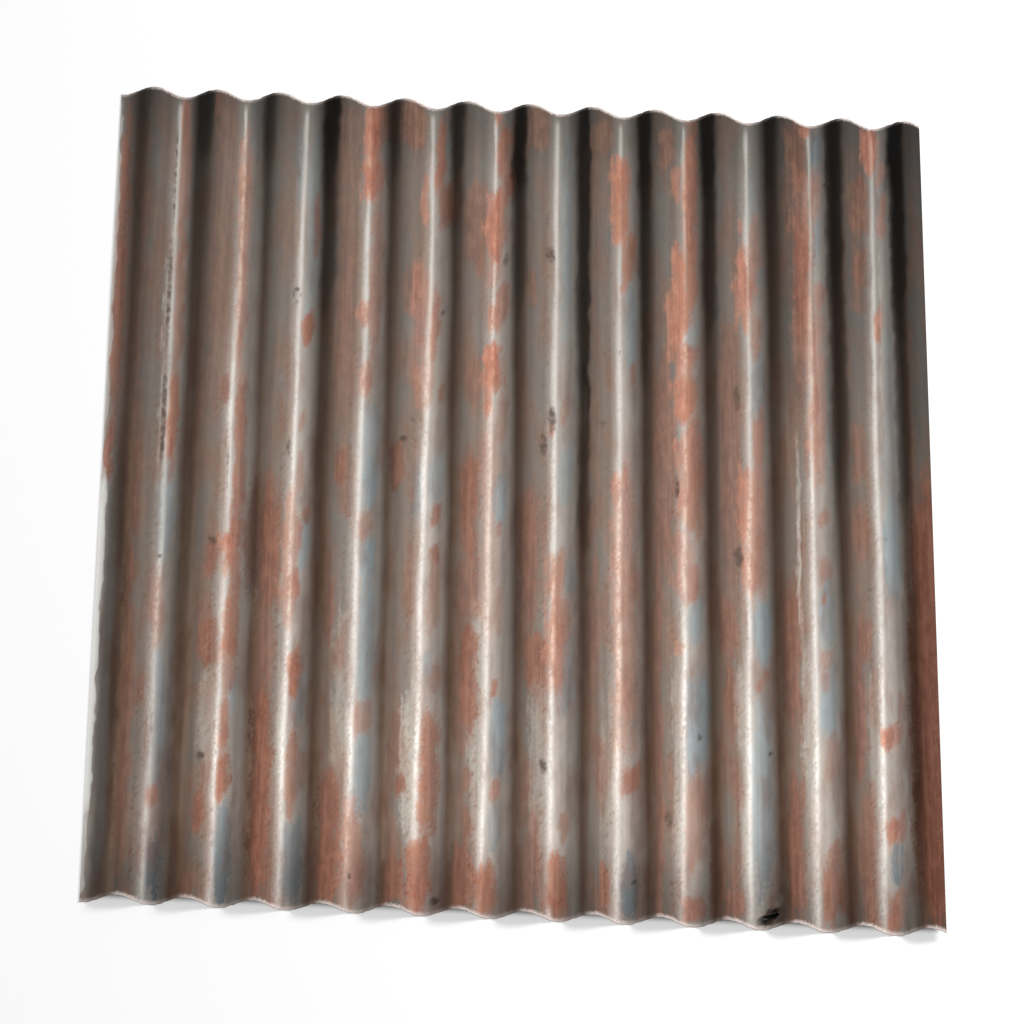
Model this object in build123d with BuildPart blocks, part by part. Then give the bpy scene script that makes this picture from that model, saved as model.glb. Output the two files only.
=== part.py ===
from build123d import *
import os
from math import ceil, cos, radians, tan

# A corrugated steel sheet, lying flat with its corrugations along Y.
# The origin is on the floor under the middle of the sheet. X runs across the waves and Z is up.

# Driving dimensions, in millimetres and degrees
sheet_length = 1200.0  # along the corrugations
sheet_width = 973.0  # across the corrugations, edge to edge
steel_thickness = 0.8
wave_pitch = 76.2  # crest to crest
wave_height = 18.0  # over the steel, from the underside of a trough to the top of a crest
flank_angle = 35.0  # slope of the straight flank between two bends
first_crest_inset = 40.5  # from the left edge to the first crest, which leaves a full trough as side lap
tear_crest = 11  # the crest, counted from the left, whose left flank a pulled nail has torn
tear_offset = 27.0  # from that crest to the middle of the tear
tear_end_distance = 17.0  # from the near end of the sheet to the middle of the tear
tear_length = 18.0
tear_gap = 6.0
tear_slant = 3.0  # the side of the tear nearest its crest lies further from the near end

# The wave follows the middle of the steel, which lies half a thickness inside the overall height
middle_depth = wave_height - steel_thickness
middle_height = wave_height / 2

# Straight flanks drawn out to sharp corners meet above the crests and below the troughs.
# The bend radius rounds each corner back to the wave's true depth.
corner_height = wave_pitch / 4 * tan(radians(flank_angle))
bend_radius = (corner_height - middle_depth / 2) / (1 / cos(radians(flank_angle)) - 1)

# The wave is drawn past both side edges and then trimmed to the sheet's width
spare_waves = 2  # past each side edge
first_crest = first_crest_inset - sheet_width / 2
wave_start = first_crest - spare_waves * wave_pitch
waves_drawn = ceil(sheet_width / wave_pitch) + 2 * spare_waves

tear_x = first_crest + (tear_crest - 1) * wave_pitch - tear_offset
tear_y = tear_end_distance - sheet_length / 2


sharp_corners = []
for wave in range(waves_drawn):
    crest_x = wave_start + wave * wave_pitch
    sharp_corners.append((crest_x, middle_height + corner_height))
    sharp_corners.append((crest_x + wave_pitch / 2, middle_height - corner_height))

with BuildPart() as corrugated_sheet:
    with BuildSketch(Plane.XZ) as section:
        with BuildLine() as middle_line:
            FilletPolyline(*sharp_corners, radius=bend_radius)
            offset(amount=steel_thickness / 2)
        make_face()
        with Locations((0, middle_height)):
            Rectangle(sheet_width, 2 * wave_height, mode=Mode.INTERSECT)
    extrude(amount=sheet_length / 2, both=True)
    with BuildSketch(Plane.XY) as tear:
        with Locations((tear_x, tear_y)):
            SlotOverall(tear_length, tear_gap, rotation=tear_slant)
    extrude(amount=wave_height, mode=Mode.SUBTRACT)
corrugated_sheet.part.label = "corrugated_sheet"

os.makedirs("parts", exist_ok=True)
export_step(corrugated_sheet.part, "parts/corrugated_sheet.step")
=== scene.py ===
from math import cos, pi, radians, sin, tan

import bpy
import numpy as np
from mathutils import Matrix, Vector, noise


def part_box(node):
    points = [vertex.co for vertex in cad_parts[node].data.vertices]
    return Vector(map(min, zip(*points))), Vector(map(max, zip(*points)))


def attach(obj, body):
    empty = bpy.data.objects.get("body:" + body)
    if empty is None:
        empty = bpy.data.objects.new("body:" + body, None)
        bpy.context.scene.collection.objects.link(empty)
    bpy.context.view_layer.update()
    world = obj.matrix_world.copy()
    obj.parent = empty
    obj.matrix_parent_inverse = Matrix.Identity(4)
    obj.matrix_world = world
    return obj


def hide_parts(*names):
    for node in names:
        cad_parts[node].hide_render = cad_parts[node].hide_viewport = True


# A weathered corrugated steel sheet lying on a pale floor.
# Metres, with the corrugations along Y, X across them and Z up. Wear is placed in millimetres.

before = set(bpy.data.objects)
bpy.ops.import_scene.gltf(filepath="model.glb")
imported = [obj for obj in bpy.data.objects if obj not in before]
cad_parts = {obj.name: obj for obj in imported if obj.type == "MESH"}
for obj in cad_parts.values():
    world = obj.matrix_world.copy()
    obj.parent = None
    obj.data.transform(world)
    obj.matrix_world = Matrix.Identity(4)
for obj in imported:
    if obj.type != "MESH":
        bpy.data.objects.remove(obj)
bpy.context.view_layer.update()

sheet_low, sheet_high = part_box("corrugated_sheet")
left_edge, near_end, floor_height = (float(value) for value in sheet_low)
right_edge, far_end, crest_top = (float(value) for value in sheet_high)

# The rolled section, as in the part
steel_thickness = 0.0008
wave_pitch = 0.0762
flank_angle = radians(35)
first_crest_inset = 0.0405  # from the left edge
first_crest = left_edge + first_crest_inset
first_trough = first_crest + wave_pitch / 2
middle_depth = crest_top - floor_height - steel_thickness
middle_height = (crest_top + floor_height) / 2
corner_height = wave_pitch / 4 * tan(flank_angle)
bend_radius = (corner_height - middle_depth / 2) / (1 / cos(flank_angle) - 1)

# The tear left by a pulled nail, as in the part
tear_crest = 11  # the crest, counted from the left, whose left flank is torn
tear_offset = 0.027  # from that crest to the middle of the tear
tear_end_distance = 0.017  # from the near end to the middle of the tear
tear_length = 0.018
tear_gap = 0.006
tear_slant = radians(3)
tear_x = first_crest + (tear_crest - 1) * wave_pitch - tear_offset
tear_y = near_end + tear_end_distance

# The lip of steel pushed up beyond the tear, placed from the tear's middle
lip_height = 0.0018
lip_along = 0.005
lip_beyond = 0.009
lip_half_length = 0.008
lip_half_width = 0.006

# The mesh
columns_per_wave = 28
fine_rows = 25  # near the torn end
fine_zone = 0.050
long_rows = 174  # over the rest of the sheet
rows_per_underside_row = 6

# How far wear keeps the sheet from its true shape, always inwards
end_raggedness = 0.0013
wave_slack = 0.05  # share of the wave's depth
rust_height = 0.0003  # of the fine relief in the upper face's material

# The ripples along which the waves are slack: radians per metre across and along the sheet, and the start
slack_ripples = [(9.1, 4.3, 0.0), (-5.7, 11.9, 1.1), (23.0, -7.7, 2.4)]

# Patches of wear, in millimetres
MILLIMETRE = 0.001
patch_slant = 0.5  # a patch starts this much further along for each millimetre to its left
patch_edge = 12.0  # over which a patch fades out
side_wander = 4.0  # by which noise shifts the sides of a patch
side_fray = 2.2  # by which finer noise shifts them more
longest_finger = 22.0  # by which wear reaches past the ends of a patch, or falls short of them

# The look of each wave, by its trough from the left: how light it is near the far end, in the middle and
# near the near end, how many millimetres its dark shoulder, painted shade with some dirt, is shifted to the
# right, and how light that is
wave_looks = [
    (0.97, 0.97, 0.87, 1.0, 1.95),
    (0.90, 0.87, 0.78, -3.5, 1.5),
    (1.18, 1.20, 1.12, 4.0, 1.4),
    (1.05, 1.14, 1.08, -1.0, 1.0),
    (1.14, 1.12, 1.12, 3.5, 1.3),
    (1.15, 1.22, 1.20, 2.0, 1.1),
    (1.12, 1.14, 1.08, 2.5, 0.95),
    (0.97, 1.02, 1.03, 2.5, 0.78),
    (0.90, 1.03, 1.07, 1.0, 0.85),
    (0.84, 1.02, 1.02, 0.0, 0.85),
    (0.82, 0.98, 0.97, 0.0, 0.9),
    (0.70, 0.90, 0.98, 1.5, 0.8),
    (0.68, 0.82, 0.84, 3.0, 1.0),
    (0.30, 0.50, 0.55, 0.0, 1.0),
]
tone_places = (0.1, 0.5, 0.9)  # shares of the sheet's length at which the three tones hold

# Rust in and beside the troughs, listed by trough, counted from the left.
# Each patch: its left and right sides from the trough's lowest line, its start and end from the far end
# of the sheet, and how much of it is rust.
trough_rust = {
    0: [(1, 14, 40, 490, 0.8), (-2, 10, 505, 595, 0.8)],
    1: [
        (-2, 9, 0, 430, 0.5), (-3, 5, 4, 80, 0.8), (-1, 8, 185, 272, 0.7), (0, 9, 295, 420, 0.6),
        (-5, 8, 430, 565, 0.85), (-1, 6, 560, 600, 0.45), (-14, 0, 720, 838, 0.4),
        (-9, 3, 1035, 1066, 0.6),
    ],
    2: [
        (-6, 3, 62, 100, 0.5), (-7, 2, 100, 178, 0.85), (-5, 8, 60, 440, 0.62), (-2, 11, 438, 505, 0.9),
        (-1, 12, 430, 860, 0.85), (-11, 12, 658, 722, 0.95), (-5, 10, 758, 850, 0.9),
        (-6, 8, 850, 905, 0.6), (-7, 5, 908, 978, 0.8), (-7, 7, 985, 1046, 0.95),
    ],
    3: [
        (8, 16, 150, 242, 0.6), (-3, 11, 330, 378, 0.9), (-3, 5, 480, 512, 0.45), (-3, 5, 540, 600, 0.45),
        (-16, 0, 600, 800, 0.55), (-6, 4, 640, 702, 0.7), (6, 15, 628, 652, 0.6), (-6, 5, 716, 752, 0.8),
        (-17, 4, 728, 762, 0.8), (-6, 7, 838, 906, 0.95), (-5, 7, 930, 1072, 0.7),
        (4, 19, 980, 1030, 0.5),
    ],
    4: [
        (-8, 13, 2, 60, 0.95), (-9, 10, 50, 92, 0.92), (-11, 12, 88, 152, 0.95), (1, 15, 150, 410, 0.62),
        (-11, 12, 304, 346, 0.7), (-10, 5, 400, 456, 0.6), (-8, 9, 625, 668, 0.45),
        (-5, 13, 905, 955, 0.5), (-18, 8, 1050, 1195, 0.65),
    ],
    5: [
        (2, 12, 8, 150, 0.8), (6, 22, 120, 192, 0.7), (-16, -8, 115, 190, 0.6), (-1, 9, 288, 400, 0.7),
        (-24, -4, 255, 400, 0.4), (-21, 2, 398, 472, 0.45), (8, 17, 438, 462, 0.6),
        (3, 14, 614, 642, 0.8), (3, 14, 672, 702, 0.9), (1, 14, 700, 800, 0.55), (5, 16, 850, 885, 0.5),
        (-6, 14, 918, 1100, 0.9), (-20, 9, 1090, 1197, 0.95),
    ],
    6: [
        (-5, 3, 0, 26, 0.6), (0, 15, 25, 102, 0.8), (5, 17, 90, 147, 0.8), (-12, 9, 120, 242, 0.95),
        (-12, 6, 240, 280, 0.45), (-2, 13, 275, 332, 0.7), (-10, 6, 306, 348, 0.75),
        (-17, 8, 368, 440, 0.95), (-13, -2, 438, 484, 0.85), (3, 14, 440, 520, 0.45),
        (3, 11, 632, 658, 0.6), (-15, 3, 490, 800, 0.35), (2, 11, 728, 800, 0.45), (-2, 6, 864, 892, 0.8),
        (-3, 9, 1004, 1038, 0.6), (-17, 5, 1128, 1196, 0.95),
    ],
    7: [
        (1, 11, 438, 482, 0.45), (-12, -5, 484, 508, 0.6), (-13, 8, 674, 736, 0.75),
        (-14, 9, 734, 872, 0.82), (3, 11, 1048, 1092, 0.6), (-12, 8, 1108, 1196, 0.95),
    ],
    8: [
        (-15, 4, 68, 202, 0.95), (0, 14, 188, 268, 0.8), (-5, 4, 262, 278, 0.6), (7, 14, 388, 422, 0.5),
        (-3, 5, 536, 584, 0.7), (-14, -1, 556, 622, 0.65), (-13, 13, 560, 970, 0.6),
        (-6, 15, 984, 1022, 0.75),
    ],
    9: [
        (-3, 12, 4, 300, 0.85), (-17, -5, 75, 132, 0.5), (-20, 1, 205, 362, 0.95),
        (-26, -12, 278, 378, 0.6), (-15, 8, 358, 400, 0.8), (-18, 7, 398, 474, 0.95),
        (-12, 14, 468, 640, 0.8), (-20, 2, 640, 745, 0.5), (-4, 9, 688, 738, 0.7),
        (-19, -7, 800, 822, 0.5), (-8, 15, 996, 1112, 0.55), (-13, 12, 1158, 1197, 0.8),
    ],
    10: [
        (-13, -9, 154, 182, 0.5), (0, 11, 150, 250, 0.45), (-16, 4, 200, 322, 0.8),
        (-23, -16, 250, 352, 0.5), (0, 11, 308, 372, 0.5), (0, 12, 455, 560, 0.65),
        (-19, 9, 540, 645, 0.75), (-13, 13, 630, 735, 0.65), (8, 15, 834, 852, 0.5),
        (-1, 7, 848, 868, 0.5),
    ],
    11: [
        (-13, -1, 0, 22, 0.6), (-26, -4, 90, 400, 0.5), (-2, 9, 75, 152, 0.5), (0, 12, 254, 292, 0.7),
        (-8, 10, 288, 552, 0.7), (0, 12, 598, 622, 0.6), (0, 12, 668, 704, 0.5), (2, 7, 718, 737, 0.7),
        (0, 13, 800, 830, 0.5), (-1, 8, 834, 862, 0.5), (1, 17, 928, 985, 0.4), (-4, 16, 1078, 1197, 0.9),
    ],
    12: [
        (-15, 5, 4, 72, 0.85), (3, 13, 58, 97, 0.8), (3, 13, 114, 177, 0.8), (-6, 5, 288, 334, 0.8),
        (10, 14, 860, 905, 0.5), (-9, 14, 904, 938, 0.9), (-6, 16, 1034, 1072, 0.85),
        (-7, 11, 1138, 1197, 0.85),
    ],
}

# Brown rust on the crests and the flanks beside them, given in the same way
crest_rust = {
    0: [(10, 36, 0, 690, 0.4)],
    1: [
        (-44, -30, 520, 700, 0.5), (-48, -36, 690, 830, 0.65), (-46, -30, 800, 1150, 0.55),
        (-30, -18, 885, 935, 0.45),
    ],
    2: [
        (-40, -32, 0, 46, 0.7), (-36, -15, 0, 100, 0.4), (-32, -15, 680, 742, 0.65),
        (-34, -8, 800, 872, 0.7), (-34, -19, 1044, 1108, 0.7), (15, 33, 598, 762, 0.6),
        (-22, -8, 440, 482, 0.85), (-38, -10, 0, 520, 0.35),
    ],
    3: [(-46, -21, 600, 800, 0.75), (-46, -23, 800, 880, 0.5), (-46, -23, 878, 1195, 0.85)],
    4: [
        (14, 33, 0, 70, 0.6), (-40, -10, 10, 150, 0.4), (-35, -22, 285, 362, 0.6),
        (-36, -20, 543, 602, 0.7), (-30, -14, 600, 645, 0.45), (-42, -32, 738, 830, 0.6),
        (-28, -18, 820, 865, 0.5), (-45, -18, 1008, 1195, 0.75), (-38, -12, 140, 520, 0.4),
    ],
    5: [
        (-42, -11, 0, 80, 0.7), (14, 34, 118, 195, 0.5), (-38, -14, 258, 335, 0.45),
        (-47, -31, 528, 604, 0.7), (-42, -34, 958, 1012, 0.5), (-33, -22, 1008, 1048, 0.8),
        (-50, -20, 1128, 1197, 0.65),
    ],
    6: [
        (14, 32, 24, 150, 0.5), (-40, -10, 124, 262, 0.55), (-40, -18, 398, 470, 0.45),
        (-40, -20, 556, 702, 0.75), (-44, -18, 700, 800, 0.55), (-40, -17, 800, 942, 0.8),
        (-32, -24, 1000, 1032, 0.55), (-34, -24, 1050, 1110, 0.55), (-47, -19, 1100, 1197, 0.6),
    ],
    7: [
        (-40, -16, 0, 72, 0.55), (-40, -28, 258, 322, 0.45), (-46, -26, 598, 800, 0.6),
        (-41, -11, 798, 884, 0.7), (-32, -21, 1058, 1142, 0.55), (-46, -20, 1100, 1197, 0.45),
    ],
    8: [(-42, -14, 20, 72, 0.45), (-44, -30, 690, 900, 0.45), (-31, -18, 1128, 1184, 0.7)],
    9: [
        (-33, -16, 28, 90, 0.6), (-44, -20, 395, 645, 0.55), (-46, -34, 640, 1197, 0.55),
        (19, 34, 1050, 1197, 0.6), (-44, -18, 380, 700, 0.6),
    ],
    10: [
        (-40, -17, 330, 400, 0.45), (-40, -22, 455, 660, 0.5), (-44, -22, 740, 830, 0.55),
        (-37, -27, 828, 925, 0.6), (-42, -17, 1158, 1197, 0.55), (-42, -14, 370, 740, 0.45),
    ],
    11: [
        (-33, -6, 0, 105, 0.7), (-38, -24, 95, 200, 0.45), (-24, -1, 168, 345, 0.8),
        (-16, -6, 468, 552, 0.5), (-46, -28, 718, 925, 0.65), (-46, -26, 998, 1197, 0.7),
        (16, 34, 1050, 1197, 0.5),
    ],
    12: [
        (-32, -9, 88, 172, 0.75), (-32, -14, 192, 262, 0.7), (-34, -16, 260, 305, 0.4),
        (-37, -20, 478, 565, 0.45), (-36, -20, 598, 684, 0.5), (-38, -20, 758, 830, 0.6),
        (-44, -30, 818, 1000, 0.6), (-36, -20, 1000, 1197, 0.5),
    ],
    13: [(-52, -4, 560, 1197, 0.95)],
}

# Clean blue-grey zinc, given in the same way
clean_zinc = {
    1: [(-10, 7, 575, 720, 0.6), (-7, 7, 845, 1040, 0.6), (-7, 8, 1098, 1184, 0.85)],
    2: [(3, 15, 0, 90, 0.45), (2, 14, 878, 932, 0.6), (-7, 11, 1058, 1192, 0.85)],
    3: [
        (-16, -7, 40, 160, 0.5), (0, 16, 60, 330, 0.45), (0, 13, 648, 722, 0.7), (0, 14, 868, 942, 0.7),
        (-8, 16, 1080, 1192, 0.6),
    ],
    4: [
        (-3, 14, 468, 540, 0.6), (-2, 14, 538, 632, 0.9), (-2, 14, 663, 722, 0.9),
        (-3, 15, 720, 905, 0.75), (-6, 13, 953, 1075, 0.7),
    ],
    5: [(10, 17, 38, 88, 0.6), (-21, -8, 548, 642, 0.7), (0, 15, 538, 612, 0.55), (-3, 6, 828, 872, 0.6)],
    6: [(-1, 15, 568, 642, 0.8), (-2, 15, 893, 1002, 0.8), (-3, 10, 1040, 1105, 0.45)],
    7: [(0, 14, 40, 335, 0.6), (0, 15, 518, 602, 0.6), (5, 18, 688, 738, 0.8), (1, 17, 798, 902, 0.75)],
    8: [(2, 17, 278, 402, 0.7), (-7, 15, 1108, 1195, 0.8)],
    9: [(0, 13, 298, 376, 0.5), (-3, 14, 738, 802, 0.7), (-7, 20, 848, 988, 0.85)],
    10: [
        (-4, 13, 70, 152, 0.45), (3, 18, 233, 262, 0.5), (-2, 14, 368, 460, 0.6),
        (-4, 18, 733, 830, 0.85), (-7, 16, 868, 1155, 0.65),
    ],
    11: [
        (0, 14, 8, 78, 0.9), (0, 10, 158, 212, 0.6), (10, 16, 400, 560, 0.5), (-2, 15, 698, 800, 0.8),
        (-2, 17, 820, 928, 0.85),
    ],
    12: [
        (5, 16, 298, 480, 0.5), (0, 18, 480, 570, 0.45), (0, 18, 568, 722, 0.85),
        (-4, 11, 1073, 1128, 0.85),
    ],
}

# Pale scuffed zinc beside the painted highlights, partly a painted sheen, given in the same way
scuffs_and_painted_sheen = {
    1: [(-15, -11.5, 260, 585, 0.6), (-9, 0, 20, 420, 0.45)],
    2: [(-29, -10, 880, 1010, 0.5)],
    3: [(-17, -3, 598, 800, 0.6), (-18, -8, 880, 1150, 0.6)],
    4: [(-30, -12, 790, 1015, 0.45)],
    5: [(-16, -8, 850, 920, 0.8), (-27, -10, 900, 1105, 0.85)],
    6: [(-26, -10, 760, 1110, 0.6)],
    7: [(-32, -12, 880, 1090, 0.45)],
    8: [(-28, -12, 890, 1130, 0.3)],
    9: [(-22, -10, 840, 1110, 0.5)],
    # trough 10's last patch is a painted highlight on the lip beyond the tear
    10: [(-25, -10, 840, 965, 0.72), (-20, -10, 950, 1170, 0.5), (6, 24, 1156, 1178, 1.0)],
    # trough 11's first patch is a painted second highlight line
    11: [(-28, -23, 488, 800, 0.5), (-26, -9, 800, 1010, 0.72), (-24, -11, 1000, 1190, 0.35)],
    12: [(-25, -11, 840, 1020, 0.38), (-22, -11, 1010, 1190, 0.35)],
}

# Painted highlights and sheen: strips beside the painted highlight lines in the troughs, given in the same
# way
painted_sheen_strips = {
    0: [(-6, 1.2, 0, 600, 0.3), (-6, 4.2, 590, 1090, 1.0), (-6, 1.2, 1085, 1195, 0.35)],
    2: [(2, 16, 60, 800, 0.06)],
    4: [(2, 17, 80, 420, 0.06)],
    5: [(3, 17, 560, 1100, 0.05)],
    6: [(2, 17, 60, 800, 0.05)],
    7: [(3, 17, 0, 1000, 0.06)],
    11: [(-28, -25, 570, 790, 0.12), (2, 17, -60, 700, 0.08), (2, 17, 700, 1195, 0.05)],
    12: [(2, 17, -60, 1195, 0.1)],
}

# Black on the shoulders, painted shade with some dirt, thin dirt elsewhere, and painted shade around the
# tear, given in the same way
painted_shade_and_grime = {
    0: [(7, 28, 540, 1197, 0.4)],
    1: [(0, 16, 600, 1190, 0.2), (18, 33, -120, 110, 0.5)],
    2: [(19, 33, -120, 120, 0.25)],
    3: [
        (2, 16, 800, 1190, 0.15), (17, 34, -120, 75, 0.97), (18, 34, 10, 165, 0.75),
        (18, 34, 100, 330, 0.4),
    ],
    4: [(16, 32, -120, 120, 0.4)],
    5: [(18, 32, -120, 130, 0.45), (16, 32, 120, 205, 0.2)],
    6: [(18, 33, -120, 150, 0.85), (18, 33, 120, 320, 0.35)],
    7: [(20, 34, 0, 480, 0.45), (28, 34, -100, 560, 0.85), (22, 34, 480, 680, 0.4)],
    8: [(17, 31, -120, 180, 0.8), (19, 31, 100, 420, 0.4)],
    9: [(18, 33, -120, 180, 0.8), (18, 33, 120, 340, 0.45)],
    10: [
        (20, 33, -120, 140, 0.5), (20, 33, 80, 400, 0.2), (-1, 20, 1176, 1191, 1.0),
        (19, 33, 1150, 1197, 0.25),
    ],
    11: [(-46, -11, -60, 460, 0.28), (16, 34, -150, 380, 0.68), (15, 34, 260, 560, 0.4)],
    12: [
        (-34, -8, -60, 420, 0.15), (17, 34, -150, 170, 0.98), (17, 34, 90, 330, 0.85),
        (18, 33, 260, 600, 0.5),
    ],
    13: [(-42, 0, -60, 560, 0.32), (-46, 0, 540, 1230, 0.38)],
}

# Dark spots and scratches, listed by trough: place from its lowest line, place from the far end,
# half width, half length and how dark
dark_spots = {
    1: [
        (-8.5, 130, 2.4, 90, 0.68), (-9.5, 310, 2.6, 110, 0.72), (-9.5, 500, 3.4, 85, 0.9),
        (-6, 708, 3, 4, 0.7),
    ],
    2: [(-8, 570, 2, 40, 0.5), (-22, 688, 6, 7, 0.9), (-26, 1000, 5, 8, 1.0)],
    3: [
        (-13, 117, 4, 16, 0.5), (-13, 306, 1.8, 9, 0.8), (-6, 304, 1.6, 6, 0.6), (-9.5, 297, 4, 2, 0.7),
        (-9.5, 316, 4, 2, 0.7), (-14, 540, 3, 18, 0.6),
    ],
    4: [(-33, 540, 4, 4, 0.5), (-7, 1150, 4, 6, 0.7)],
    5: [(13, 325, 4, 6, 0.6), (-22, 495, 8, 5, 0.5), (-32, 530, 5, 6, 1.0), (14, 1182, 7, 7, 0.8)],
    6: [(11, 238, 4, 12, 0.6)],
    7: [
        (-30, 82, 3, 4, 0.7), (-16, 175, 3, 14, 0.5), (-13, 228, 7, 13, 0.8), (-19, 320, 3, 4, 0.6),
        (-9, 480, 5, 24, 0.9), (-20, 525, 6, 20, 0.8), (-18, 990, 6, 12, 0.85),
    ],
    8: [
        (-27, 20, 3, 5, 0.7), (-5, 373, 2.5, 4, 0.7), (-25, 385, 3, 5, 0.6), (-24, 492, 8, 6, 0.5),
        (10, 1142, 3, 4, 0.9),
    ],
    9: [(-15, 576, 3.5, 18, 1.1), (9, 936, 3, 5, 0.8), (-28, 1062, 6, 14, 0.75)],
    10: [
        (-13, 182, 5, 4, 0.5), (-20, 678, 7, 18, 0.85), (14, 956, 4, 4, 0.8), (-20, 440, 5, 24, 0.8),
        # the last two spots of trough 10 are painted shade around the tear
        (9, 1177, 4, 5, 1.2), (14, 1191, 12, 5, 0.75),
    ],
    11: [(17, 97, 6, 4, 0.8), (-34, 690, 5, 5, 0.5)],
    12: [(2, 633, 3, 4, 0.8)],
}


def smooth_step(start, end, value):
    """0 before start, 1 after end and a smooth rise between them."""
    share = np.clip((value - start) / (end - start), 0.0, 1.0)
    return share * share * (3 - 2 * share)


def from_trough(x, trough):
    """Millimetres from the lowest line of a trough, counted from the left."""
    return (x - first_trough - (trough - 1) * wave_pitch) / MILLIMETRE


def uneven(x, y, scale_x, scale_y, seed):
    """Smooth noise between about -1 and 1 at each point, with so many bumps per metre across and along."""
    places = zip((x * scale_x).ravel(), (y * scale_y).ravel())
    values = [noise.noise((place_x, place_y, seed)) for place_x, place_y in places]
    return np.array(values).reshape(x.shape)


def patch_cover(x, y, patches, seed):
    """How far inside a patch each point lies, 0.5 on the worn outline, and how strong the wear is there."""
    worn_x = x + side_wander * MILLIMETRE * uneven(x, y, 60, 30, seed)
    worn_x += side_fray * MILLIMETRE * uneven(x, y, 150, 70, seed + 3)
    end_wear = uneven(x, y, 120, 20, seed + 7) + 0.6 * uneven(x, y, 240, 40, seed + 11)
    along = (far_end - y) / MILLIMETRE
    inside = np.zeros_like(x)
    shares = np.full_like(x, 1e-6)
    strengths = np.zeros_like(x)
    for trough, rows in patches.items():
        beside = from_trough(worn_x, trough)
        for left, right, start, end, strength in rows:
            half_width = (right - left) / 2
            half_length = (end - start) / 2
            offset = beside - (left + right) / 2
            finger = min(longest_finger, 0.4 * half_length)
            worn_along = along + patch_slant * offset + finger * end_wear
            lengthwise = (worn_along - (start + end) / 2) / half_length
            depth = half_width * (1 - np.sqrt((offset / half_width) ** 2 + lengthwise**4))
            cover = np.clip(0.5 + depth / min(patch_edge, half_width), 0.0, 1.0)
            inside = np.maximum(inside, cover)
            shares += cover**2
            strengths += strength * cover**2
    return inside, strengths / shares


def spot_cover(x, y, spots):
    """How dark the spots make each point: fully within half of a spot's size, not at all past 1.3 of it."""
    along = (far_end - y) / MILLIMETRE
    cover = np.zeros_like(x)
    for trough, rows in spots.items():
        beside = from_trough(x, trough)
        for side, place, half_width, half_length, strength in rows:
            off_middle = np.hypot((beside - side) / half_width, (along - place) / half_length)
            cover = np.maximum(cover, strength * smooth_step(-1.3, -0.5, -off_middle))
    return cover


def wave_wear(x, y):
    """The tone of each point, blended from wave to wave, and the place and tone of its shoulder."""
    share = (far_end - y) / (far_end - near_end)
    tones = np.stack([np.interp(share, tone_places, look[:3]) for look in wave_looks])
    place = (x - first_trough) / wave_pitch + 1
    left = np.clip(np.floor(place).astype(int), 0, len(wave_looks) - 2)
    points = np.arange(len(x))
    blend = place - left
    tone = (1 - blend) * tones[left, points] + blend * tones[left + 1, points]
    nearest = np.clip(np.round(place).astype(int), 0, len(wave_looks) - 1)
    shifts, shoulder_tones = np.array(wave_looks)[nearest, 3:].T
    return {"wave_tone": tone, "shoulder_shift": shifts, "shoulder_tone": shoulder_tones}


def wave_section(x):
    """Height of the middle of the steel above the wave's middle, and the wave's slope as an angle."""
    beside_crest = (x - first_crest + wave_pitch / 2) % wave_pitch - wave_pitch / 2
    near_crest = np.abs(beside_crest) < wave_pitch / 4
    from_bend = np.where(near_crest, np.abs(beside_crest), wave_pitch / 2 - np.abs(beside_crest))
    angle = np.arcsin(np.minimum(from_bend / bend_radius, sin(flank_angle)))
    straight = np.maximum(from_bend - bend_radius * sin(flank_angle), 0.0)
    from_extreme = bend_radius * (1 - np.cos(angle)) + straight * tan(flank_angle)
    height = (middle_depth / 2 - from_extreme) * np.where(near_crest, 1.0, -1.0)
    return height, -np.sign(beside_crest) * angle


def slack(x, y):
    """Share of the wave's depth that is lost to wear and handling, between 0 and wave_slack."""
    ripple = sum(np.sin(across * x + along * y + start) for across, along, start in slack_ripples)
    return wave_slack * (0.5 + ripple / (2 * len(slack_ripples)))


def tear_lip(x, y):
    """How far the steel beyond the tear is pushed up."""
    along_tear = (x - tear_x) * cos(tear_slant) + (y - tear_y) * sin(tear_slant)
    beyond_tear = (y - tear_y) * cos(tear_slant) - (x - tear_x) * sin(tear_slant)
    lengthwise = (along_tear - lip_along) / lip_half_length
    crosswise = (beyond_tear - lip_beyond) / lip_half_width
    return lip_height * np.exp(-(lengthwise**2) - crosswise**2)


def sheet_face(x, y, side):
    """Points of the upper face (side 1) or the underside (side -1) of the sheet."""
    height, slope = wave_section(x)
    height = height * (1 - slack(x, y)) + tear_lip(x, y)
    half_steel = side * steel_thickness / 2
    face_x = np.clip(x - half_steel * np.sin(slope), left_edge, right_edge)
    face_z = middle_height + height + half_steel * np.cos(slope)
    return np.stack([face_x, y, face_z], axis=-1)


def column_places():
    """Places of the mesh's columns across the sheet."""
    step = wave_pitch / columns_per_wave
    first = np.ceil((left_edge - first_crest) / step + 0.4)
    last = np.floor((right_edge - first_crest) / step - 0.4)
    inner = first_crest + step * np.arange(first, last + 1)
    return np.concatenate([[left_edge], inner, [right_edge]])


def row_places():
    """Places of the upper face's rows from the near end, and which of them the underside shares."""
    fine = np.linspace(near_end, near_end + fine_zone, fine_rows + 1)
    long = np.linspace(near_end + fine_zone, far_end, long_rows + 1)[1:]
    shared = list(range(fine_rows + 1))
    shared += range(fine_rows + rows_per_underside_row, fine_rows + long_rows + 1, rows_per_underside_row)
    return np.concatenate([fine, long]), shared


def raggedness(x, first, second, start, fine):
    """An uneven amount from 0 to 1 along a cut end, made of three ripples in radians per metre."""
    fine_share = 0.4
    coarse = np.sin(first * x) * np.sin(second * x + start)
    return np.abs(coarse + fine_share * np.sin(fine * x)) / (1 + fine_share)


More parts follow.
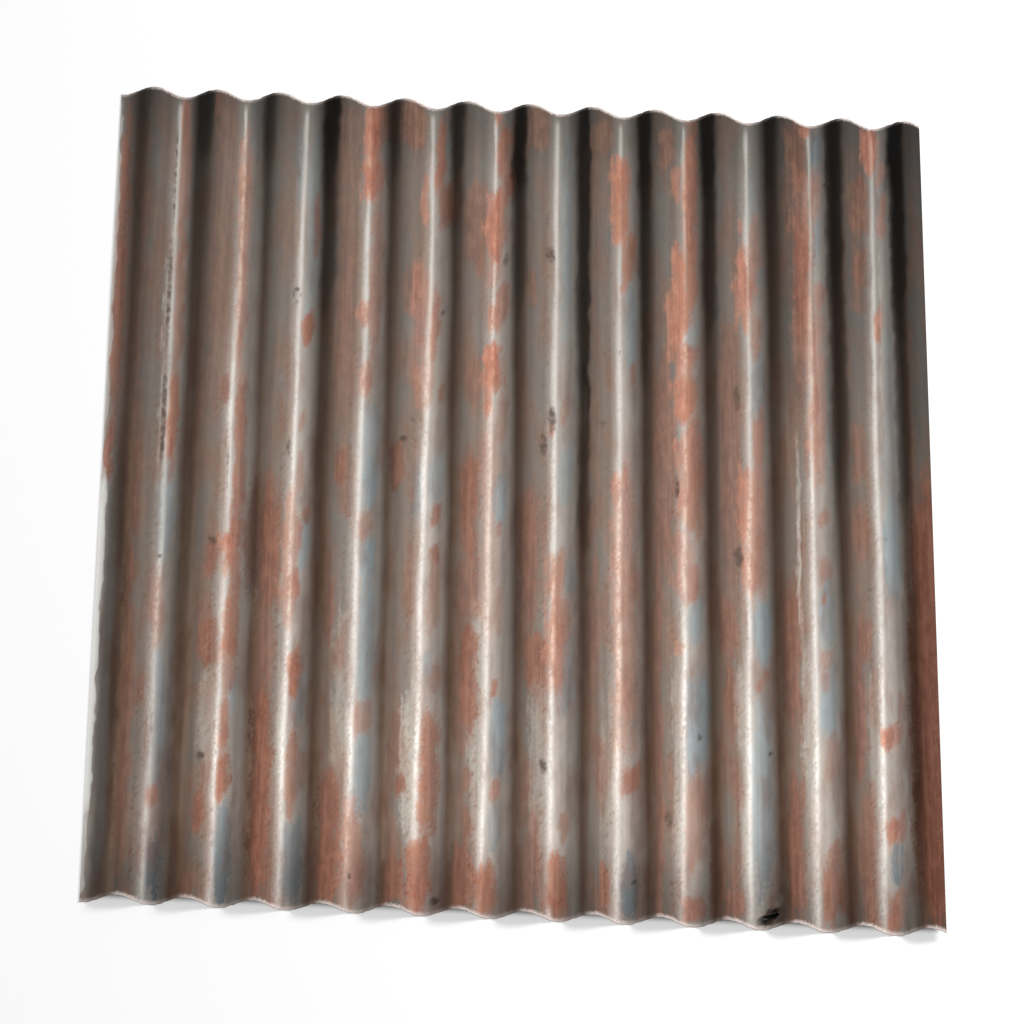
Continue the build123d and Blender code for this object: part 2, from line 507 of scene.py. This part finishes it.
def ragged_ends(x, y):
    """Draws the first and last rows of points back from the straight cut by an uneven amount."""
    y[0] += end_raggedness * raggedness(x[0], 310, 97, 1, 901)
    y[-1] -= end_raggedness * raggedness(x[-1], 113, 277, 2, 823)


def grid_faces(first, rows, columns, upwards):
    """Quads of a grid of points, facing up or down."""
    numbers = first + np.arange(rows * columns).reshape(rows, columns)
    corners = [numbers[:-1, :-1], numbers[:-1, 1:], numbers[1:, 1:], numbers[1:, :-1]]
    quads = np.stack(corners, axis=-1).reshape(-1, 4)
    return (quads if upwards else quads[:, ::-1]).tolist()


def cut_edge_faces(upper, under, shared):
    """Faces of the four cut edges, which join the upper face to the underside."""
    faces = []
    for column in range(upper.shape[1] - 1):
        faces.append([upper[0, column], under[0, column], under[0, column + 1], upper[0, column + 1]])
        faces.append([upper[-1, column + 1], under[-1, column + 1], under[-1, column], upper[-1, column]])
    for row in range(len(shared) - 1):
        run = list(range(shared[row], shared[row + 1] + 1))
        faces.append([under[row, 0], *upper[run, 0], under[row + 1, 0]])
        faces.append([under[row + 1, -1], *upper[run[::-1], -1], under[row, -1]])
    return [[int(number) for number in face] for face in faces]


def tear_cutter(materials):
    """A slot-shaped block to cut the tear with."""
    straight = (tear_length - tear_gap) / 2
    steps = 10
    outline = []
    for end, start_angle in ((straight, -pi / 2), (-straight, pi / 2)):
        for step in range(steps + 1):
            angle = start_angle + pi * step / steps
            along = end + tear_gap / 2 * cos(angle)
            beyond = tear_gap / 2 * sin(angle)
            x = tear_x + along * cos(tear_slant) - beyond * sin(tear_slant)
            y = tear_y + along * sin(tear_slant) + beyond * cos(tear_slant)
            outline.append((x, y))
    count = len(outline)
    points = [(x, y, floor_height - wave_pitch) for x, y in outline]
    points += [(x, y, crest_top + wave_pitch) for x, y in outline]
    faces = [list(range(count))[::-1], list(range(count, 2 * count))]
    for corner in range(count):
        following = (corner + 1) % count
        faces.append([corner, following, count + following, count + corner])
    mesh = bpy.data.meshes.new("tear_cutter")
    mesh.from_pydata(points, [], faces)
    for material in materials:
        mesh.materials.append(material)
    mesh.polygons.foreach_set("material_index", [len(materials) - 1] * len(mesh.polygons))
    cutter = bpy.data.objects.new("tear_cutter", mesh)
    bpy.context.collection.objects.link(cutter)
    return cutter


def cut_tear(sheet, materials):
    """Cuts the tear through the sheet."""
    cutter = tear_cutter(materials)
    cut = sheet.modifiers.new("tear", "BOOLEAN")
    cut.operation = "DIFFERENCE"
    cut.solver = "EXACT"
    cut.object = cutter
    evaluated = sheet.evaluated_get(bpy.context.evaluated_depsgraph_get())
    mesh = bpy.data.meshes.new_from_object(evaluated)
    sheet.modifiers.clear()
    sheet.data = mesh
    bpy.data.objects.remove(cutter)


def store_wear(mesh):
    """Stores the wear at each point of the sheet for the upper face's material."""
    places = np.zeros(len(mesh.vertices) * 3, np.float32)
    mesh.vertices.foreach_get("co", places)
    x, y = places.reshape(-1, 3).astype(float).T[:2]
    wear = wave_wear(x, y)
    wear["dark_spots"] = spot_cover(x, y, dark_spots)
    patch_lists = {
        "trough_rust": trough_rust,
        "crest_rust": crest_rust,
        "clean_zinc": clean_zinc,
        "scuffs_and_painted_sheen": scuffs_and_painted_sheen,
        "painted_sheen_strips": painted_sheen_strips,
        "painted_shade_and_grime": painted_shade_and_grime,
    }
    for number, (name, patches) in enumerate(patch_lists.items()):
        wear[name], wear[name + "_strength"] = patch_cover(x, y, patches, number + 0.3)
    for name, cover in wear.items():
        mesh.attributes.new(name, "FLOAT", "POINT").data.foreach_set("value", cover.astype(np.float32))


def build_sheet(materials):
    """The corrugated sheet as one closed mesh."""
    rows, shared = row_places()
    x, y = np.meshgrid(column_places(), rows)
    ragged_ends(x, y)
    upper_points = sheet_face(x, y, 1)
    under_points = sheet_face(x[shared], y[shared], -1)
    upper_count = x.size
    points = np.concatenate([upper_points.reshape(-1, 3), under_points.reshape(-1, 3)])
    upper = np.arange(upper_count).reshape(x.shape)
    under = upper_count + np.arange(len(shared) * x.shape[1]).reshape(len(shared), -1)

    face_groups = [
        grid_faces(0, *x.shape, True),
        grid_faces(upper_count, *under.shape, False),
        cut_edge_faces(upper, under, shared),
    ]
    mesh = bpy.data.meshes.new("sheet")
    mesh.from_pydata(points.tolist(), [], sum(face_groups, []))
    for material in materials:
        mesh.materials.append(material)
    group_numbers = [number for number, group in enumerate(face_groups) for face in group]
    mesh.polygons.foreach_set("material_index", group_numbers)

    sheet = bpy.data.objects.new("weathered_sheet", mesh)
    bpy.context.collection.objects.link(sheet)
    cut_tear(sheet, materials)
    store_wear(sheet.data)
    sheet.data.shade_smooth()
    sheet.data.set_sharp_from_angle(angle=radians(50))
    return sheet


class Shader:
    """Builds a material's nodes. Most methods give the output socket of the node that they add."""

    def __init__(self, name):
        self.material = bpy.data.materials.new(name)
        self.material.use_nodes = True
        self.tree = self.material.node_tree
        self.surface = self.tree.nodes["Principled BSDF"]

    def node(self, kind, inputs, **settings):
        made = self.tree.nodes.new(kind)
        for name, value in settings.items():
            setattr(made, name, value)
        for key, value in inputs.items():
            self.fill(made.inputs[key], value)
        return made

    def fill(self, socket, value):
        if isinstance(value, bpy.types.NodeSocket):
            self.tree.links.new(value, socket)
        else:
            socket.default_value = value

    def set(self, **values):
        for name, value in values.items():
            self.fill(self.surface.inputs[name.replace("_", " ").title()], value)

    def math(self, operation, *values):
        inputs = dict(enumerate(values))
        return self.node("ShaderNodeMath", inputs, operation=operation).outputs[0]

    def product(self, value, *factors):
        for factor in factors:
            value = self.math("MULTIPLY", value, factor)
        return value

    def total(self, value, *others):
        for other in others:
            value = self.math("ADD", value, other)
        return value

    def scaled(self, value, factor, plus=0.0):
        """The value times a factor, plus another value."""
        return self.math("MULTIPLY_ADD", value, factor, plus)

    def rest(self, share):
        """What a share leaves of 1."""
        return self.math("SUBTRACT", 1.0, share)

    def centred(self, noise):
        """Noise from 0 to 1, moved to lie about 0."""
        return self.math("SUBTRACT", noise, 0.5)

    def rise(self, value, start, end, low=0.0, high=1.0):
        """Low before start, high after end and a smooth rise between them."""
        inputs = {"Value": value, "From Min": start, "From Max": end, "To Min": low, "To Max": high}
        return self.node("ShaderNodeMapRange", inputs, interpolation_type="SMOOTHSTEP").outputs["Result"]

    def slope(self, value, start, end, low, high):
        """A straight change from low at start to high at end."""
        inputs = {"Value": value, "From Min": start, "From Max": end, "To Min": low, "To Max": high}
        return self.node("ShaderNodeMapRange", inputs).outputs["Result"]

    def mix(self, share, first, second, blend="MIX"):
        inputs = {0: share, 6: first, 7: second}
        return self.node("ShaderNodeMix", inputs, data_type="RGBA", blend_type=blend).outputs[2]

    def tint(self, base, by, share=1.0):
        """A colour multiplied by another, as far as share says."""
        return self.mix(share, base, by, "MULTIPLY")

    def noise(self, place, across, along, detail, roughness=0.55, turn=0.0):
        """Noise from 0 to 1 whose shapes are so many millimetres across and along, turned about Z."""
        size = (across * MILLIMETRE, along * MILLIMETRE, 1.0)
        mapping = {"Vector": place, "Rotation": (0.0, 0.0, turn), "Scale": size}
        stretched = self.node("ShaderNodeMapping", mapping, vector_type="TEXTURE").outputs[0]
        return self.noise_at(stretched, detail, roughness)

    def noise_at(self, place, detail, roughness=0.55):
        inputs = {"Vector": place, "Scale": 1.0, "Detail": detail, "Roughness": roughness}
        return self.node("ShaderNodeTexNoise", inputs).outputs[0]

    def vector(self, x, y, z):
        return self.node("ShaderNodeCombineXYZ", {0: x, 1: y, 2: z}).outputs[0]

    def place(self):
        return self.node("ShaderNodeTexCoord", {}).outputs["Object"]

    def axes(self, place):
        """The X and the Y of a place."""
        outputs = self.node("ShaderNodeSeparateXYZ", {0: place}).outputs
        return outputs["X"], outputs["Y"]

    def wear(self, name):
        return self.node("ShaderNodeAttribute", {}, attribute_name=name).outputs["Fac"]

    def bump(self, height, distance):
        inputs = {"Height": height, "Distance": distance, "Strength": 1.0}
        return self.node("ShaderNodeBump", inputs).outputs[0]


def colour(red, green, blue):
    return (red, green, blue, 1.0)


class FaceShader(Shader):
    """The upper face's shader: places on the sheet, noise, and the layers of wear and of painted light and
    shade.
    """

    def __init__(self, name):
        super().__init__(name)
        self.set_out_places()
        self.set_out_noise()
        self.set_out_painted_highlight()
        self.set_out_shoulders()

    def per_wave(self, seed, length, low, high):
        """A value that differs from wave to wave and changes slowly along each, over so many millimetres."""
        wave_spacing = 4.7  # far enough apart in the noise for neighbouring waves to differ
        wave_row = self.math("MULTIPLY", self.trough, wave_spacing)
        spot = self.vector(wave_row, self.math("DIVIDE", self.along, length), seed)
        return self.slope(self.noise_at(spot, 1), 0.25, 0.75, low, high)

    def along_sheet(self, far, near):
        """A value that changes evenly from the far end to the near end."""
        return self.scaled(self.share_along, near - far, far)

    def patches(self, name, soft, ragged=1.0):
        """Share of a patch at each point: full inside its broken outline, with a faint fringe outside it."""
        inside = self.scaled(self.broken, ragged, self.wear(name))
        core = self.rise(inside, 0.5 - soft, 0.5 + soft, 0.0, 0.8)
        fringe = self.rise(inside, 0.0, 0.5, 0.0, 0.2)
        return self.product(self.total(core, fringe), self.wear(name + "_strength"))

    def set_out_places(self):
        """Millimetres from the far end, the nearer end and the lowest line of the nearest trough."""
        x, y = self.axes(self.place())
        length = (far_end - near_end) / MILLIMETRE
        pitch = wave_pitch / MILLIMETRE
        self.along = self.scaled(y, -1 / MILLIMETRE, far_end / MILLIMETRE)
        self.from_end = self.scaled(self.math("ABSOLUTE", y), -1 / MILLIMETRE, far_end / MILLIMETRE)
        self.share_along = self.math("DIVIDE", self.along, length)
        self.early_share = self.math("POWER", self.share_along, 0.5)  # rises most near the far end
        from_first = self.scaled(x, 1 / MILLIMETRE, -first_trough / MILLIMETRE)
        self.trough = self.math("ROUND", self.math("DIVIDE", from_first, pitch))
        self.across = self.scaled(self.trough, -pitch, from_first)

    def set_out_noise(self):
        """Long streaks, a mottle, slanting strokes, a fine crust, small blotches and slow changes of tone."""
        place = self.place()
        stroke_slant = radians(-27)
        crust_slant = radians(-20)
        self.streaks = self.noise(place, 5, 140, 3)
        self.mottle = self.noise(place, 9, 26, 4, 0.6)
        self.strokes = self.noise(place, 4.2, 19, 4, 0.65, stroke_slant)
        self.crust = self.noise(place, 3.0, 6.5, 4, 0.65, crust_slant)
        self.blotches = self.noise(place, 6, 10, 1, 0.5, crust_slant)
        self.tone = self.noise(place, 26, 110, 3)

        # What breaks up the outlines of patches, about as often outwards as inwards, and what shades rust
        crust_break = self.scaled(self.crust, 1.5, -2.05)
        streak_break = self.scaled(self.streaks, 1.2, crust_break)
        self.broken = self.scaled(self.mottle, 1.4, streak_break)
        self.rust_tone = self.rise(self.total(self.mottle, self.streaks), 0.82, 1.18)

    def set_out_painted_highlight(self):
        """The painted highlight: a bright line left of each trough's lowest line, feathered on its left and
        broken in places.
        """
        bow = self.math("POWER", self.share_along, 1.6)
        line_place = self.total(self.scaled(bow, -6.8, -3.7), self.per_wave(1.5, 300, -2.2, 2.2))
        self.beside_line = self.math("SUBTRACT", self.across, line_place)
        strokes_feather = self.product(self.centred(self.strokes), self.along_sheet(0.5, 8.0))
        crust_feather = self.product(self.centred(self.crust), self.along_sheet(1.5, 14.0))
        feathered = self.total(self.beside_line, strokes_feather, crust_feather)
        left_width = self.total(self.along_sheet(-4.0, -8.5), self.per_wave(2.5, 90, -2.5, 2.5))
        left_side = self.rise(self.math("DIVIDE", feathered, left_width), -0.2, 1.1, 1.0, 0.0)
        right_side = self.rise(self.beside_line, -0.5, self.along_sheet(3.8, 6.5), 1.0, 0.0)
        far_start = self.rise(self.along, 5.0, 24.0)
        near_fade = self.rise(self.along, 980.0, 1185.0, 1.0, 0.5)
        strength = self.per_wave(3.5, 110, 0.58, 1.08)
        breaks = self.scaled(self.strokes, 0.8, self.scaled(self.crust, 0.6, self.mottle))
        unbroken = self.rise(breaks, 1.02, 1.26, self.along_sheet(0.92, 0.60), 1.0)
        self.line = self.product(left_side, right_side, far_start, near_fade, strength, unbroken)

    def set_out_shoulders(self):
        """The shoulder between each trough and the next crest, painted dark: shade, with some dirt."""
        usual_start = self.total(self.along_sheet(15.0, 18.8), self.per_wave(4.5, 250, -1.5, 1.5))
        start = self.total(usual_start, self.wear("shoulder_shift"))
        end = self.total(self.along_sheet(32.5, 31.5), self.per_wave(5.5, 250, -1.5, 1.5))
        self.past_trough = self.rise(self.math("SUBTRACT", self.across, start), -5.5, 6.5)
        self.past_shoulder = self.rise(self.math("SUBTRACT", self.across, end), -2.5, 6.5)
        self.on_shoulder = self.product(self.past_trough, self.rest(self.past_shoulder))

    def zinc(self):
        """Plain zinc: dull on the crests, paler in the troughs, partly a painted glow about the highlight,
        and painted dark on the shoulders, which is shade with some dirt.
        """
        browner = self.scaled(self.rise(self.tone, 0.34, 0.66), 0.5, self.per_wave(6.5, 260, 0.0, 0.5))
        far_crest = self.mix(browner, colour(0.120, 0.111, 0.103), colour(0.131, 0.095, 0.074))
        near_crest = self.mix(browner, colour(0.210, 0.188, 0.162), colour(0.235, 0.155, 0.115))
        # Painted shade: the crests darken towards the shoulders.
        crest_shade = self.rise(self.math("ABSOLUTE", self.across), 23.0, 38.0, 1.02, 0.90)
        crest = self.tint(self.mix(self.share_along, far_crest, near_crest), crest_shade)
        # Painted shade: the shoulders are nearly black near the far end, shade with some dirt.
        far_shoulder = self.mix(browner, colour(0.036, 0.036, 0.032), colour(0.043, 0.034, 0.028))
        near_shoulder = self.mix(browner, colour(0.238, 0.170, 0.128), colour(0.275, 0.160, 0.108))
        shoulder = self.mix(self.share_along, far_shoulder, near_shoulder)
        shoulder = self.tint(shoulder, self.wear("shoulder_tone"))
        # The troughs are paler, partly a painted glow about the highlight.
        trough = self.mix(self.early_share, colour(0.270, 0.247, 0.222), colour(0.535, 0.476, 0.426))
        past_crest = self.rise(self.beside_line, self.along_sheet(-15.0, -17.0), 4.0)
        zinc = self.mix(past_crest, crest, trough)
        zinc = self.mix(self.past_trough, zinc, shoulder)
        return self.mix(self.past_shoulder, zinc, crest)

    def cleaned(self, base):
        """Clean blue-grey zinc, gloomy towards the near end, and pale scuffs, partly a painted sheen."""
        self.clean = self.patches("clean_zinc", 0.25)
        base = self.tint(base, colour(0.72, 0.955, 1.12), self.clean)
        gloom = self.product(self.clean, self.rise(self.along, 930.0, 1180.0, 0.0, 0.60))
        base = self.mix(gloom, base, colour(0.10, 0.105, 0.115))
        scuffs = self.product(self.patches("scuffs_and_painted_sheen", 0.5), self.rise(self.crust, 0.30, 0.50, 0.55, 1.0))
        return self.mix(scuffs, base, colour(0.40, 0.367, 0.320))

    def shaded(self, base):
        """Small changes of shade, darkening towards both cut ends, the painted highlights and each wave's own
        tone.
        """
        mottled = self.slope(self.mottle, 0.25, 0.75, 0.93, 1.07)
        streaked = self.total(self.product(self.centred(self.streaks), self.along_sheet(0.2, 0.5)), 1.0)
        near_darkening = self.rise(self.along, 1060.0, 1190.0, 1.0, 0.55)
        far_darkening = self.rise(self.along, 0.0, 140.0, 0.66, 1.0)
        base = self.tint(base, self.product(mottled, streaked, near_darkening, far_darkening))
        # The painted highlight's colour, laid over the zinc along each bright line.
        highlight_colour = self.mix(self.early_share, colour(0.485, 0.465, 0.430), colour(0.720, 0.692, 0.648))
        base = self.mix(self.line, base, highlight_colour)
        return self.tint(base, self.wear("wave_tone"))

    def brown_rust(self):
        """The rust of the crests, redder towards the near end."""
        far = self.mix(self.rust_tone, colour(0.140, 0.070, 0.049), colour(0.200, 0.114, 0.078))
        near = self.mix(self.rust_tone, colour(0.212, 0.068, 0.039), colour(0.296, 0.120, 0.076))
        return self.mix(self.early_share, far, near)

    def salmon_rust(self):
        """The rust of the troughs, salmon with stretches of tan."""
        far = self.mix(self.rust_tone, colour(0.315, 0.108, 0.069), colour(0.420, 0.182, 0.126))
        near = self.mix(self.rust_tone, colour(0.370, 0.112, 0.068), colour(0.525, 0.224, 0.152))
        salmon = self.mix(self.early_share, far, near)
        tan_rust = self.mix(self.early_share, colour(0.310, 0.155, 0.096), colour(0.420, 0.232, 0.150))
        return self.mix(self.per_wave(7.5, 60, 0.0, 0.6), salmon, tan_rust)

    def rusted(self, base):
        """Brown rust on the crests, with a haze towards the near end, and salmon in the troughs."""
        haze = self.product(self.rise(self.tone, 0.42, 0.66), self.scaled(self.early_share, 0.36, 0.06))
        on_crest = self.math("MAXIMUM", self.patches("crest_rust", 0.5), haze)
        on_crest = self.product(on_crest, self.rest(self.line))

        # The painted highlight shows in ragged pieces, fewer of them where the rust is strong
        line_share = self.rise(self.wear("trough_rust_strength"), 0.80, 0.93, 0.62, 0.20)
        rust_gaps = self.rise(self.scaled(self.crust, 0.6, self.mottle), 0.70, 0.94, 0.25, 1.6)
        line_shows = self.product(self.line, line_share, rust_gaps)
        trough_patches = self.patches("trough_rust", 0.55)
        in_trough = self.product(trough_patches, self.rest(line_shows))
        self.rust = self.math("MAXIMUM", in_trough, on_crest)

        # Rust carries the painted light too: lighter along the painted highlight and darker on the shoulders
        # as painted shade, and darker near the near end
        lit_line = self.scaled(self.line, 0.25, self.scaled(line_shows, 0.7, 1.0))
        wave_shade = self.math("POWER", self.wear("wave_tone"), 0.5)
        shade = self.product(self.scaled(self.on_shoulder, -0.6, lit_line), wave_shade)
        near_gloom = self.rise(self.along, 1030.0, 1190.0, 1.0, 0.65)
        brown = self.tint(self.brown_rust(), shade)
        salmon = self.tint(self.salmon_rust(), self.product(shade, near_gloom))
        base = self.mix(on_crest, base, brown)
        base = self.mix(in_trough, base, salmon)
        warm_line = self.product(self.line, trough_patches)
        return self.tint(base, colour(1.0, 0.87, 0.74), warm_line)

    def flecked(self, base):
        """Brown flecks left of the painted highlights, more of them towards the near end."""
        zone_start = self.rise(self.beside_line, -26.0, -13.0)
        zone_end = self.rise(self.beside_line, -4.5, 0.0, 1.0, 0.0)
        grain = self.scaled(self.strokes, 0.6, self.scaled(self.crust, 0.4))
        flecks = self.product(self.rise(grain, 0.46, 0.62), self.rise(self.mottle, 0.40, 0.56))
        share = self.product(flecks, zone_start, zone_end, self.along_sheet(0.25, 0.95))
        return self.tint(base, colour(0.68, 0.55, 0.48), share)

    def sheen_shade_and_spots(self, base):
        """Painted sheen strips, the shoulders' black, which is painted shade with some dirt, with nearly
        smooth outlines, and dark spots, a few of them painted shade around the tear.
        """
        strips = self.rise(self.wear("painted_sheen_strips"), 0.3, 0.7)
        strips = self.product(strips, self.wear("painted_sheen_strips_strength"))
        base = self.mix(strips, base, colour(0.90, 0.88, 0.84))
        base = self.mix(self.patches("painted_shade_and_grime", 0.45, 0.25), base, colour(0.002, 0.0017, 0.0015))
        spots = self.wear("dark_spots")
        blotched = self.scaled(self.blotches, 2.0, self.total(spots, -1.0))
        dark = self.product(self.rise(blotched, -0.2, 1.3, 0.0, 0.88), self.rise(spots, 0.0, 0.6))
        return self.mix(dark, base, colour(0.080, 0.053, 0.042))

    def pale_cut_ends(self, base):
        """Paler at the cut ends, except on the dark shoulders."""
        ragged_end = self.scaled(self.crust, -9.0, self.product(self.from_end, self.along_sheet(1.2, 1.0)))
        at_end = self.rise(ragged_end, -3.5, 2.5, 1.0, 0.0)
        share = self.product(at_end, self.scaled(self.on_shoulder, -0.75, 1.0), 0.8)
        return self.mix(share, base, colour(0.66, 0.57, 0.53))

    def set_surface(self, finished):
        """The painted highlights are a little metallic and smoother where not rusted, rust is rough, and rust
        and crust stand out from the steel.
        """
        unrusted_highlight = self.product(self.line, self.scaled(self.rust, -0.8, 1.0))
        metal = self.scaled(unrusted_highlight, 0.15, self.scaled(self.clean, 0.12))
        rough = self.scaled(unrusted_highlight, -0.2, self.scaled(self.rust, 0.12, 0.62))
        rust_cover = self.math("MAXIMUM", self.wear("trough_rust"), self.wear("crest_rust"))
        crust_relief = self.product(self.crust, self.share_along, 0.5)
        relief = self.scaled(rust_cover, self.mottle, crust_relief)
        self.set(base_color=finished, metallic=metal, roughness=rough)
        self.set(normal=self.bump(relief, rust_height))
        self.surface.inputs["Specular IOR Level"].default_value = 0.06


def weathered_face():
    """The upper face: dull crests, a painted highlight in each trough, shoulders painted dark as shade with
    some dirt, and rust.
    """
    face = FaceShader("weathered_face")
    finished = face.zinc()
    for add_layer in (face.cleaned, face.shaded, face.rusted, face.flecked, face.sheen_shade_and_spots, face.pale_cut_ends):
        finished = add_layer(finished)
    face.set_surface(finished)
    return face.material


def dull_underside():
    """The underside: plain zinc gone dull, with faint streaks along the waves."""
    shader = Shader("dull_underside")
    place = shader.place()
    streaks = shader.noise(place, 9, 110, 4)
    mottle = shader.noise(place, 17, 25, 4)
    zinc = shader.mix(streaks, colour(0.20, 0.19, 0.18), colour(0.34, 0.33, 0.32))
    rust = shader.rise(mottle, 0.58, 0.72)
    shader.set(base_color=shader.mix(rust, zinc, colour(0.21, 0.11, 0.075)))
    shader.set(metallic=0.25, roughness=0.6)
    return shader.material


def cut_edge():
    """The sheared edge of the steel, browned by rust."""
    shader = Shader("cut_edge")
    mottle = shader.noise(shader.place(), 4, 8, 3)
    shader.set(base_color=shader.mix(mottle, colour(0.10, 0.075, 0.060), colour(0.42, 0.36, 0.32)))
    shader.set(metallic=0.2, roughness=0.65)
    return shader.material


def seen_rays(tree):
    """1 for rays that show the background as such: from the camera, and by way of gloss or glass."""
    rays = tree.nodes.new("ShaderNodeLightPath")
    share = rays.outputs["Is Camera Ray"]
    for name in ("Is Glossy Ray", "Is Transmission Ray"):
        either = tree.nodes.new("ShaderNodeMath")
        either.operation = "MAXIMUM"
        tree.links.new(share, either.inputs[0])
        tree.links.new(rays.outputs[name], either.inputs[1])
        share = either.outputs[0]
    return share


def white_floor():
    """A floor that shows white where it is fully lit, keeps the shadow and is painted dark under the sheet as
    a painted shadow.
    """
    shader = Shader("floor")
    math = shader.math
    tree = shader.tree
    tree.nodes.remove(shader.surface)
    x, y = shader.axes(shader.place())

    # Metres past the sheet's outline, and below zero under the sheet
    beside = math("SUBTRACT", math("ABSOLUTE", x), right_edge)
    before = math("SUBTRACT", math("ABSOLUTE", y), far_end)
    past_edge = math("MAXIMUM", beside, before)

    # The painted shadow under the sheet lightens just inside the outline, where the floor shows below the
    # waves of the cut ends
    lightened = shader.rise(past_edge, -0.018, -0.006)
    grey = shader.mix(lightened, colour(0.03, 0.03, 0.03), colour(0.5, 0.5, 0.5))
    full_glow = 0.58
    glow_strength = math("MULTIPLY", shader.rise(past_edge, -0.017, -0.004), full_glow)
    diffuse = shader.node("ShaderNodeBsdfDiffuse", {"Color": grey}).outputs[0]
    glow = shader.node("ShaderNodeEmission", {"Strength": glow_strength}).outputs[0]
    both = shader.node("ShaderNodeAddShader", {0: diffuse, 1: glow}).outputs[0]
    choice = shader.node("ShaderNodeMixShader", {0: seen_rays(tree), 1: diffuse, 2: both}).outputs[0]
    tree.links.new(choice, tree.nodes["Material Output"].inputs["Surface"])
    return shader.material


def build_floor():
    """A wide floor just below the sheet."""
    half = 15.0
    gap = 0.0002  # keeps the floor clear of the steel
    below = floor_height - gap
    mesh = bpy.data.meshes.new("floor")
    corners = [(-half, -half, below), (half, -half, below), (half, half, below), (-half, half, below)]
    mesh.from_pydata(corners, [], [(0, 1, 2, 3)])
    mesh.materials.append(white_floor())
    floor = bpy.data.objects.new("floor", mesh)
    bpy.context.collection.objects.link(floor)


def light_world():
    """Soft light from all round, which shows as white behind the object."""
    world = bpy.data.worlds.new("studio")
    world.use_nodes = True
    tree = world.node_tree
    ambient = tree.nodes["Background"]
    ambient.inputs["Color"].default_value = colour(1, 1, 1)
    ambient.inputs["Strength"].default_value = 0.28
    white = tree.nodes.new("ShaderNodeBackground")
    white.inputs["Color"].default_value = colour(1, 1, 1)
    choice = tree.nodes.new("ShaderNodeMixShader")
    tree.links.new(seen_rays(tree), choice.inputs[0])
    tree.links.new(ambient.outputs[0], choice.inputs[1])
    tree.links.new(white.outputs[0], choice.inputs[2])
    tree.links.new(choice.outputs[0], tree.nodes["World Output"].inputs["Surface"])
    bpy.context.scene.world = world


def add_key_light():
    """A large soft lamp on the right, a little behind the sheet."""
    distance = 4.0
    height_angle = radians(38)
    behind_angle = radians(15)
    lamp = bpy.data.lights.new("key", "AREA")
    lamp.shape = "DISK"
    lamp.size = 1.6
    lamp.energy = 185.0
    key = bpy.data.objects.new("key", lamp)
    flat = distance * cos(height_angle)
    key.location = (flat * cos(behind_angle), flat * sin(behind_angle), distance * sin(height_angle))
    key.rotation_euler = (-key.location).to_track_quat("-Z", "Y").to_euler()
    bpy.context.collection.objects.link(key)


def add_camera():
    """The photograph's view: from the near end, looking down, turned a little about its own axis."""
    azimuth = radians(4.01)
    elevation = radians(51.77)
    roll = radians(5.65)
    distance = 8.818
    target = Vector((-0.0061, -0.0185, 0.0))
    forward = Vector((sin(azimuth) * cos(elevation), cos(azimuth) * cos(elevation), -sin(elevation)))
    right = Vector((cos(azimuth), -sin(azimuth), 0.0))
    up = right.cross(forward)
    rolled_right = cos(roll) * right + sin(roll) * up
    rolled_up = cos(roll) * up - sin(roll) * right
    data = bpy.data.cameras.new("photo_view")
    data.sensor_fit = "HORIZONTAL"
    data.sensor_width = 36.0
    data.lens = 265.4
    data.clip_end = 100.0
    camera = bpy.data.objects.new("photo_view", data)
    turn = Matrix((rolled_right, rolled_up, -forward)).transposed()
    camera.matrix_world = Matrix.Translation(target - distance * forward) @ turn.to_4x4()
    bpy.context.collection.objects.link(camera)
    bpy.context.scene.camera = camera


sheet = build_sheet([weathered_face(), dull_underside(), cut_edge()])
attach(sheet, "root")
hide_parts("corrugated_sheet")

build_floor()
light_world()
add_key_light()
add_camera()
bpy.context.scene.view_settings.view_transform = "Standard"
